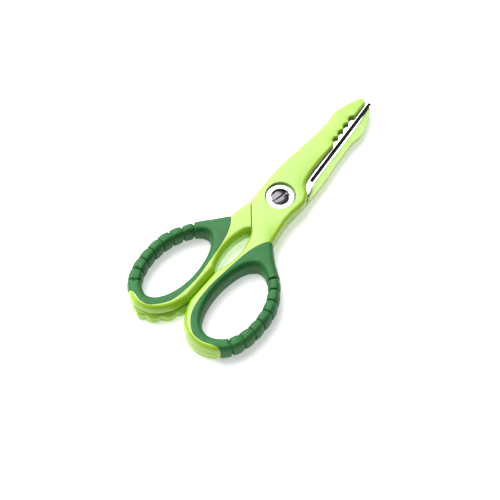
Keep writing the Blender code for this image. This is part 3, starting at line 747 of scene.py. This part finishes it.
def handle_moulding(name, plate, on_half):
    """The lime plastic of one half. on_half turns the front half's tools to this half's side."""
    body = duplicate(plate, name)
    region = prism("grip_side", grip_region(0), -TOOL_HALF_HEIGHT, TOOL_HALF_HEIGHT)
    combine(body, on_half(region), "DIFFERENCE")
    layer = prism("layer", free_layer(), -TOOL_HALF_HEIGHT, LAYER_GAP)
    combine(body, on_half(layer), "DIFFERENCE")
    pocket_top = LAYER_GAP + BLADE_THICKNESS + POCKET_HEADROOM
    pocket = prism("pocket", offset(blade_outline(), -POCKET_CLEARANCE), -1, pocket_top)
    combine(body, on_half(pocket), "DIFFERENCE")
    combine(body, on_half(recess_cutter()), "DIFFERENCE")
    return body


def add_skirt(body, on_side, lobe_height):
    """The groove and the lobed skirt at the end of the loop. on_side mirrors them for the rear half."""
    combine(body, on_side(along_loop_end("groove", groove_section)), "DIFFERENCE")
    skirt = along_loop_end("skirt", lambda share: skirt_section(share, lobe_height))
    combine(body, on_side(skirt), "UNION")


def soft_grip(name, plate, on_half):
    """The soft overmould of one loop, with its ribbed sleeve."""
    grip = duplicate(plate, name)
    region = prism("grip_side", grip_region(SEAM), -TOOL_HALF_HEIGHT, TOOL_HALF_HEIGHT)
    combine(grip, on_half(region), "INTERSECT")
    return grip


def narrow_loop(piece):
    """Bring the far side of the thumb loop nearer to the long axis."""
    for vertex in piece.data.vertices:
        across = smooth_step(*NARROWED_ACROSS, -vertex.co.x)
        vertex.co.x += THUMB_LOOP_NARROWER * across * smooth_step(*NARROWED_ALONG, vertex.co.y)


# ---------------------------------------------------------------- steel

def blade_outline():
    """Outline of the front steel strip with its rounded tang."""
    start = math.atan2(BLADE_BACK[-1][1], BLADE_BACK[-1][0])
    end = math.atan2(BLADE_HEEL[0][1], BLADE_HEEL[0][0]) + 2 * math.pi
    angles = (start + (end - start) * k / 40 for k in range(1, 40))
    tang = [Vector((math.cos(angle), math.sin(angle))) * TANG_RADIUS for angle in angles]
    return join_curves(
        curve(BLADE_TIP, 0.3),
        curve(BLADE_BACK, 1.5),
        tang,
        curve(BLADE_HEEL, 0.4),
        [Vector(BLADE_HEEL[-1]), Vector(BLADE_EDGE_END)],
    )


def steel_strip(name):
    """A strip with a ground bevel along its straight cutting edge and broken corners elsewhere."""
    base = blade_outline()
    normals = inward_normals(base)
    count = len(base)
    edge_start = min(range(count), key=lambda k: (base[k] - Vector(BLADE_HEEL[-1])).length)
    edge_end = min(range(count), key=lambda k: (base[k] - Vector(BLADE_EDGE_END)).length)
    direction = (base[edge_end] - base[edge_start]).normalized()
    across = Vector((-direction.y, direction.x))
    slanted_end = base[(edge_end + 1) % count] - base[edge_end]
    inward = {
        edge_start: across * GROUND_EDGE_WIDTH,
        edge_end: slanted_end * (GROUND_EDGE_WIDTH / slanted_end.dot(across)),
    }
    low, high = LAYER_GAP, LAYER_GAP + BLADE_THICKNESS
    broken = [point + normal * EDGE_BREAK for point, normal in zip(base, normals)]
    above, top = list(base), list(broken)
    for index, step in inward.items():
        above[index] = base[index] + step * (1 - EDGE_BREAK)
        top[index] = base[index] + step
    rings = [
        (broken, low), (base, low + EDGE_BREAK), (base, low + GROUND_EDGE_LAND),
        (above, high - EDGE_BREAK), (top, high),
    ]
    verts = [(*point, z) for ring, z in rings for point in ring]
    rows = [list(range(k * count, (k + 1) * count)) for k in range(len(rings))]
    faces = [rows[0][::-1], rows[-1]]
    for lower, upper in zip(rows, rows[1:]):
        faces += ring_faces(lower, upper)
    strip = new_object(name, verts, faces)
    hole = turned("tang_hole", [(0, -5), (TANG_HOLE_RADIUS, -5), (TANG_HOLE_RADIUS, 5), (0, 5)])
    combine(strip, hole, "DIFFERENCE")
    return strip


def seat_washer(name):
    """The thick washer with a round seat for the screw head, and broken corners."""
    cut = 0.09
    bore = SHANK_RADIUS + BORE_CLEARANCE
    low, high, outer = WASHER_BOTTOM, WASHER_TOP, WASHER_RADIUS
    seat = HEAD_TOP - HEAD_HEIGHT - BORE_CLEARANCE
    return turned(name, [
        (bore, low + cut), (bore + cut, low), (outer - cut, low), (outer, low + cut),
        (outer, high - 0.2), (outer - 0.07, high - 0.06), (outer - 0.2, high),
        (SEAT_RIM_RADIUS + 0.15, high), (SEAT_RIM_RADIUS, high - 0.05),
        (SEAT_RIM_RADIUS - 0.06, high - 0.18), (SEAT_RADIUS, seat), (bore, seat),
    ])


def screw():
    """The slotted screw: a low domed head on a plain shank."""
    head_low = HEAD_TOP - HEAD_HEIGHT
    rim_z = head_low + HEAD_HEIGHT * 0.3
    shank_low = NUT_BOTTOM + 0.1
    dome = [
        (HEAD_RADIUS * math.cos(angle), rim_z + (HEAD_TOP - rim_z) * math.sin(angle))
        for angle in (math.radians(90) * (k / 12)**0.8 for k in range(12))
    ]
    made = turned("slotted_screw", [
        (0, shank_low), (SHANK_RADIUS - 0.2, shank_low), (SHANK_RADIUS, shank_low + 0.2),
        (SHANK_RADIUS, head_low), (HEAD_RADIUS - 0.12, head_low), (HEAD_RADIUS, head_low + 0.12),
        *dome, (0, HEAD_TOP),
    ])
    half_width, half_length = SLOT_WIDTH / 2, HEAD_RADIUS * 1.3
    signs = ((-1, -1), (1, -1), (1, 1), (-1, 1))
    outline = [Vector((half_width * across, half_length * along)) for across, along in signs]
    slot = prism("slot", outline, HEAD_TOP - SLOT_DEPTH, HEAD_TOP + 1)
    slot.data.transform(Matrix.Rotation(SLOT_TILT, 4, "Z"))
    combine(made, slot, "DIFFERENCE")
    return made


def hex_nut():
    """The nut under the rear half, with its corners turned down."""
    angles = [k * math.pi / 3 for k in range(6)]
    corners = [Vector((math.cos(angle), math.sin(angle))) * NUT_RADIUS for angle in angles]
    nut = prism("hex_nut", corners, NUT_BOTTOM, NUT_TOP)
    flat = NUT_RADIUS * math.cos(math.pi / 6)
    chamfer = turned("chamfer", [
        (0, NUT_BOTTOM - 0.5), (flat - 0.6, NUT_BOTTOM - 0.2), (NUT_RADIUS + 0.02, NUT_BOTTOM + 0.42),
        (NUT_RADIUS + 0.02, NUT_TOP + 0.5), (0, NUT_TOP + 0.5),
    ])
    combine(nut, chamfer, "INTERSECT")
    bore_radius = SHANK_RADIUS + BORE_CLEARANCE / 2
    bore = turned("thread", [
        (0, -TOOL_HALF_HEIGHT), (bore_radius, -TOOL_HALF_HEIGHT), (bore_radius, 0), (0, 0),
    ])
    combine(nut, bore, "DIFFERENCE")
    return nut


def place(piece, look, body, slot, node, smooth_to=SMOOTH_TO):
    """Put a finished piece into the frame in place of its node, with its material and body."""
    piece.data.transform(Matrix.Translation(PIVOT) @ Matrix.Scale(MM, 4))
    piece.data.materials.clear()
    piece.data.materials.append(look)
    piece.data.shade_smooth()
    piece.data.set_sharp_from_angle(angle=math.radians(smooth_to))
    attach(piece, body)
    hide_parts(node)


# ---------------------------------------------------------------- materials

BRUSH_SCALE = (5200, 120, 5200)
SCRATCH_SCALE = (900, 9000, 900)


class Nodes:
    """A short way to write a material's node tree."""

    def __init__(self, name):
        self.material = bpy.data.materials.new(name)
        self.material.use_nodes = True
        self.tree = self.material.node_tree
        self.shader = self.tree.nodes["Principled BSDF"]

    def add(self, kind, inputs=None, **settings):
        node = self.tree.nodes.new(kind)
        for key, value in settings.items():
            setattr(node, key, value)
        for key, value in (inputs or {}).items():
            self.feed(node.inputs[key], value)
        return node

    def feed(self, socket, value):
        if isinstance(value, bpy.types.NodeSocket):
            self.tree.links.new(value, socket)
        elif isinstance(value, bpy.types.Node):
            self.tree.links.new(value.outputs[0], socket)
        else:
            socket.default_value = value

    def place(self):
        return self.add("ShaderNodeTexCoord").outputs["Object"]

    def noise(self, scale, detail=3, roughness=0.5, vector=None):
        inputs = {"Vector": vector or self.place(), "Scale": scale}
        inputs |= {"Detail": detail, "Roughness": roughness}
        return self.add("ShaderNodeTexNoise", inputs).outputs["Fac"]

    def stretched(self, scale):
        """Object coordinates with a scale for each axis."""
        return self.add("ShaderNodeMapping", {"Vector": self.place(), "Scale": scale}).outputs[0]

    def spread(self, value, low, high, from_low=0.3, from_high=0.7):
        inputs = {"Value": value, "From Min": from_low, "From Max": from_high}
        inputs |= {"To Min": low, "To Max": high}
        return self.add("ShaderNodeMapRange", inputs).outputs[0]

    def mix(self, factor, first, second):
        node = self.add("ShaderNodeMix", data_type="RGBA")
        self.feed(node.inputs["Factor"], factor)
        self.feed(node.inputs[6], first)
        self.feed(node.inputs[7], second)
        return node.outputs[2]

    def bump(self, height, distance, strength=1.0, below=None):
        inputs = {"Height": height, "Distance": distance, "Strength": strength}
        if below:
            inputs["Normal"] = below
        return self.add("ShaderNodeBump", inputs).outputs[0]

    def finish(self, **inputs):
        for key, value in inputs.items():
            self.feed(self.shader.inputs[key.replace("_", " ")], value)
        return self.material


def shade(red, green, blue):
    """Linear colour from sRGB values of 0 to 255."""
    linear = []
    for value in (red, green, blue):
        part = value / 255
        linear.append(part / 12.92 if part <= 0.04045 else ((part + 0.055) / 1.055)**2.4)
    return (*linear, 1)


def worn_edges(nodes, colour, paler, amount):
    """Rubs the raised edges a little paler."""
    raised = nodes.add("ShaderNodeNewGeometry").outputs["Pointiness"]
    edge = nodes.spread(raised, 0, amount, 0.52, 0.6)
    patchy = nodes.spread(nodes.noise(900, 5, 0.65), 0.2, 1, 0.4, 0.6)
    factor = nodes.add("ShaderNodeMath", {0: edge, 1: patchy}, operation="MULTIPLY")
    return nodes.mix(factor.outputs[0], colour, paler)


def lime_plastic():
    """Glossy moulded plastic, a little translucent, with a fine spark-eroded grain."""
    nodes = Nodes("lime_plastic")
    broad = nodes.spread(nodes.noise(55, 2), 0, 1, 0.35, 0.65)
    colour = nodes.mix(broad, shade(168, 212, 54), shade(158, 204, 46))
    speckled = nodes.spread(nodes.noise(2600, 2), 0, 0.12, 0.55, 0.75)
    colour = nodes.mix(speckled, colour, shade(196, 228, 96))
    colour = worn_edges(nodes, colour, shade(204, 232, 116), 0.3)
    grain = nodes.bump(nodes.noise(5200, 3, 0.6), 0.00003, 0.35)
    relief = nodes.bump(nodes.noise(420, 2), 0.00012, 0.25, below=grain)
    return nodes.finish(
        Base_Color=colour,
        Roughness=nodes.spread(nodes.noise(700, 5, 0.6), 0.26, 0.36),
        Normal=relief,
        IOR=1.5,
        Subsurface_Weight=0.12,
        Subsurface_Radius=(0.8, 1.0, 0.25),
        Subsurface_Scale=0.0012,
        Coat_Weight=0.6,
        Coat_Roughness=0.2,
    )


def soft_touch():
    """Dark green overmoulded rubber with a matt grain and a trace of dust."""
    nodes = Nodes("soft_grip")
    broad = nodes.spread(nodes.noise(90, 3), 0, 1, 0.35, 0.65)
    colour = nodes.mix(broad, shade(19, 102, 38), shade(25, 112, 42))
    dust = nodes.spread(nodes.noise(1900, 6, 0.7), 0, 0.16, 0.5, 0.75)
    colour = nodes.mix(dust, colour, shade(86, 152, 92))
    colour = worn_edges(nodes, colour, shade(90, 166, 94), 0.35)
    pebbles = nodes.add("ShaderNodeTexVoronoi", {"Vector": nodes.place(), "Scale": 3600})
    grain = nodes.bump(pebbles.outputs["Distance"], 0.00003, 0.4)
    relief = nodes.bump(nodes.noise(8200, 3, 0.6), 0.00003, 0.35, below=grain)
    return nodes.finish(
        Base_Color=colour,
        Roughness=nodes.spread(nodes.noise(800, 5, 0.6), 0.5, 0.66),
        Normal=relief,
        IOR=1.5,
        Sheen_Weight=0.12,
        Sheen_Roughness=0.45,
    )


def brushed_steel(name, bright, dark, low, high):
    """Ground steel: long fine lines along one direction and a few faint stains."""
    nodes = Nodes(name)
    lines = nodes.noise(1, 4, 0.75, vector=nodes.stretched(BRUSH_SCALE))
    stains = nodes.spread(nodes.noise(160, 4, 0.6), 0, 0.5, 0.5, 0.75)
    colour = nodes.mix(nodes.spread(lines, 0, 1, 0.35, 0.65), bright, dark)
    colour = nodes.mix(stains, colour, dark)
    return nodes.finish(
        Base_Color=colour,
        Metallic=1.0,
        Roughness=nodes.spread(lines, low, high),
        Normal=nodes.bump(lines, 0.00001, 0.3),
        Anisotropic=0.4,
    )


def turned_metal(name, bright, dark, low, high):
    """Metal turned on a lathe: fine rings round the pivot's axis."""
    nodes = Nodes(name)
    centred = nodes.add("ShaderNodeVectorMath", {0: nodes.place(), 1: tuple(-PIVOT)}, operation="ADD")
    flat = nodes.add("ShaderNodeVectorMath", {0: centred.outputs[0], 1: (1, 1, 0)}, operation="MULTIPLY")
    radius = nodes.add("ShaderNodeVectorMath", {0: flat.outputs[0]}, operation="LENGTH").outputs["Value"]
    along = nodes.add("ShaderNodeCombineXYZ", {"X": radius}).outputs[0]
    rings = nodes.noise(9000, 3, 0.7, vector=along)
    lines = nodes.noise(1, 5, 0.7, vector=nodes.stretched(SCRATCH_SCALE))
    scratches = nodes.spread(lines, 0, 1, 0.5, 0.72)
    colour = nodes.mix(nodes.spread(rings, 0, 1), bright, dark)
    colour = nodes.mix(nodes.spread(scratches, 0, 0.3, 0, 1), colour, dark)
    return nodes.finish(
        Base_Color=colour,
        Metallic=1.0,
        Roughness=nodes.spread(rings, low, high),
        Normal=nodes.bump(rings, 0.000008, 0.35),
    )


def nylon_look():
    """Milky nylon for the hidden friction washer."""
    nodes = Nodes("nylon")
    colour = nodes.mix(nodes.noise(300, 3), shade(238, 238, 228), shade(222, 224, 214))
    return nodes.finish(
        Base_Color=colour,
        Roughness=nodes.spread(nodes.noise(1500, 4), 0.42, 0.55),
        Normal=nodes.bump(nodes.noise(6000, 3), 0.00002, 0.3),
    )


# ---------------------------------------------------------------- stage

AZIMUTH, ELEVATION = math.radians(37.2), math.radians(59)
VIEW_WIDTH = 0.212
PIVOT_RIGHT, PIVOT_UP = 0.0614, 0.1094   # the pivot's place off the view's middle, in view widths
LENS = 300
SENSOR = 36
VIEW_DEPTH = 20
LIT_SIDE = (-0.6, 0.1, 0.8)
WINDOW_DISTANCE = 1.0
WINDOW_SIZE = 1.1
WINDOW_POWER = 19
SKY_SPREAD = (0.1, 0.95, 0.02, 0.4)      # from, to: how far a direction is on the lit side; strength
FLOOR_REACH = 4
FLOOR_GLOW = 0.5
FLOOR_DROP = 0.0002


def view_axes():
    """Directions to the right of the view, up in it, and back from it towards the camera."""
    level = math.cos(ELEVATION)
    back = Vector((math.sin(AZIMUTH) * level, -math.cos(AZIMUTH) * level, math.sin(ELEVATION)))
    right = Vector((math.cos(AZIMUTH), math.sin(AZIMUTH), 0))
    return right, back.cross(right), back


def make_camera():
    """A long lens from the front right, with the pivot right of and above the middle."""
    right, up, back = view_axes()
    top = PIVOT + Vector((0, 0, HUB_HALF_HEIGHT * MM))
    aim = top - right * VIEW_WIDTH * PIVOT_RIGHT - up * VIEW_WIDTH * PIVOT_UP
    camera = bpy.data.objects.new("camera", bpy.data.cameras.new("camera"))
    camera.data.lens = LENS
    camera.data.sensor_width = SENSOR
    camera.rotation_mode = "QUATERNION"
    camera.rotation_quaternion = back.to_track_quat("Z", "Y")
    camera.location = aim + back * VIEW_WIDTH * LENS / SENSOR
    camera.data.clip_end = VIEW_DEPTH
    bpy.context.scene.collection.objects.link(camera)
    bpy.context.scene.camera = camera


def make_floor():
    """A white light table: it glows a little, so that the shadows stay faint."""
    nodes = Nodes("pale_floor")
    colour = nodes.mix(nodes.noise(30, 3), shade(250, 250, 250), shade(247, 247, 247))
    look = nodes.finish(
        Base_Color=colour,
        Roughness=0.8,
        Emission_Color=colour,
        Emission_Strength=FLOOR_GLOW,
    )
    signs = ((-1, -1), (1, -1), (1, 1), (-1, 1))
    corners = [(FLOOR_REACH * across, FLOOR_REACH * along, 0) for across, along in signs]
    floor = new_object("floor", corners, [(0, 1, 2, 3)])
    floor.location.z = -FLOOR_DROP
    floor.data.materials.append(look)


def make_window():
    """A large soft box to the left, whose far side the flat faces mirror to the camera."""
    light = bpy.data.objects.new("window", bpy.data.lights.new("window", "AREA"))
    light.data.size = WINDOW_SIZE
    light.data.energy = WINDOW_POWER
    toward = Vector(LIT_SIDE).normalized()
    light.location = PIVOT + toward * WINDOW_DISTANCE
    light.rotation_mode = "QUATERNION"
    light.rotation_quaternion = toward.to_track_quat("Z", "Y")
    bpy.context.scene.collection.objects.link(light)


def make_sky():
    """A pale dome that is bright over the left and falls off towards the right."""
    world = bpy.data.worlds.new("studio")
    world.use_nodes = True
    tree = world.node_tree
    toward = tree.nodes.new("ShaderNodeTexCoord").outputs["Generated"]
    facing = tree.nodes.new("ShaderNodeVectorMath")
    facing.operation = "DOT_PRODUCT"
    facing.inputs[1].default_value = LIT_SIDE
    tree.links.new(toward, facing.inputs[0])
    spread = tree.nodes.new("ShaderNodeMapRange")
    spread.interpolation_type = "SMOOTHSTEP"
    for name, value in zip(("From Min", "From Max", "To Min", "To Max"), SKY_SPREAD):
        spread.inputs[name].default_value = value
    tree.links.new(facing.outputs["Value"], spread.inputs["Value"])
    background = tree.nodes["Background"]
    background.inputs["Color"].default_value = (1, 1, 1, 1)
    tree.links.new(spread.outputs[0], background.inputs["Strength"])
    bpy.context.scene.world = world


# ---------------------------------------------------------------- assembly

def main():
    for thing in list(bpy.data.objects):
        if thing.type in ("LIGHT", "CAMERA") or thing.name == "Cube":
            bpy.data.objects.remove(thing)
    make_camera()
    make_window()
    make_sky()
    bpy.context.scene.view_settings.view_transform = "Standard"
    make_floor()

    lime, green = lime_plastic(), soft_touch()
    steel = brushed_steel("blade_steel", shade(226, 228, 226), shade(186, 189, 188), 0.12, 0.22)
    bright = turned_metal("washer_steel", shade(240, 242, 240), shade(212, 215, 213), 0.18, 0.3)
    plated = turned_metal("screw_steel", shade(104, 101, 106), shade(78, 76, 80), 0.16, 0.26)
    inner = turned_metal("bush_steel", shade(214, 212, 206), shade(176, 174, 170), 0.26, 0.4)
    nylon = nylon_look()

    plate = rounded_plate("plate", [half_outline(), hole_outline()])
    ribbed = duplicate(plate, "ribbed_plate")
    SLEEVE.shape(ribbed)
    front_handle = handle_moulding("front_handle_moulding", plate, as_drawn)
    front_grip = soft_grip("front_soft_grip", ribbed, as_drawn)
    add_skirt(front_handle, as_drawn, FRONT_LOBE_HEIGHT)
    mirrored(plate)
    mirrored(ribbed)
    rear_handle = handle_moulding("rear_handle_moulding", plate, turned_over)
    rear_grip = soft_grip("rear_soft_grip", ribbed, turned_over)
    add_skirt(rear_handle, mirrored, REAR_LOBE_HEIGHT)
    narrow_loop(rear_handle)
    narrow_loop(rear_grip)
    bpy.data.objects.remove(plate)
    bpy.data.objects.remove(ribbed)

    place(front_handle, lime, "front_half", "lime_plastic", "front_handle")
    place(rear_handle, lime, "rear_half", "lime_plastic", "rear_handle")
    place(front_grip, green, "front_half", "soft_grip", "front_grip")
    place(rear_grip, green, "rear_half", "soft_grip", "rear_grip")
    front_strip = steel_strip("front_steel_strip")
    place(front_strip, steel, "front_half", "blade_steel", "front_blade", STEEL_SMOOTH_TO)
    rear_strip = turned_over(steel_strip("rear_steel_strip"))
    place(rear_strip, steel, "rear_half", "blade_steel", "rear_blade", STEEL_SMOOTH_TO)
    place(seat_washer("seat_washer"), bright, "front_half", "washer_steel", "pivot_washer")
    rear_seat = turned_over(seat_washer("rear_seat_washer"))
    place(rear_seat, bright, "rear_half", "washer_steel", "rear_washer")
    place(screw(), plated, "rear_half", "screw_steel", "pivot_screw")
    place(hex_nut(), plated, "rear_half", "screw_steel", "pivot_nut", NUT_SMOOTH_TO)
    for node, look in (("pivot_bush", inner), ("friction_washer", nylon)):
        carried = frame["nodes"][node]
        carried.data.materials.clear()
        carried.data.materials.append(look)


main()
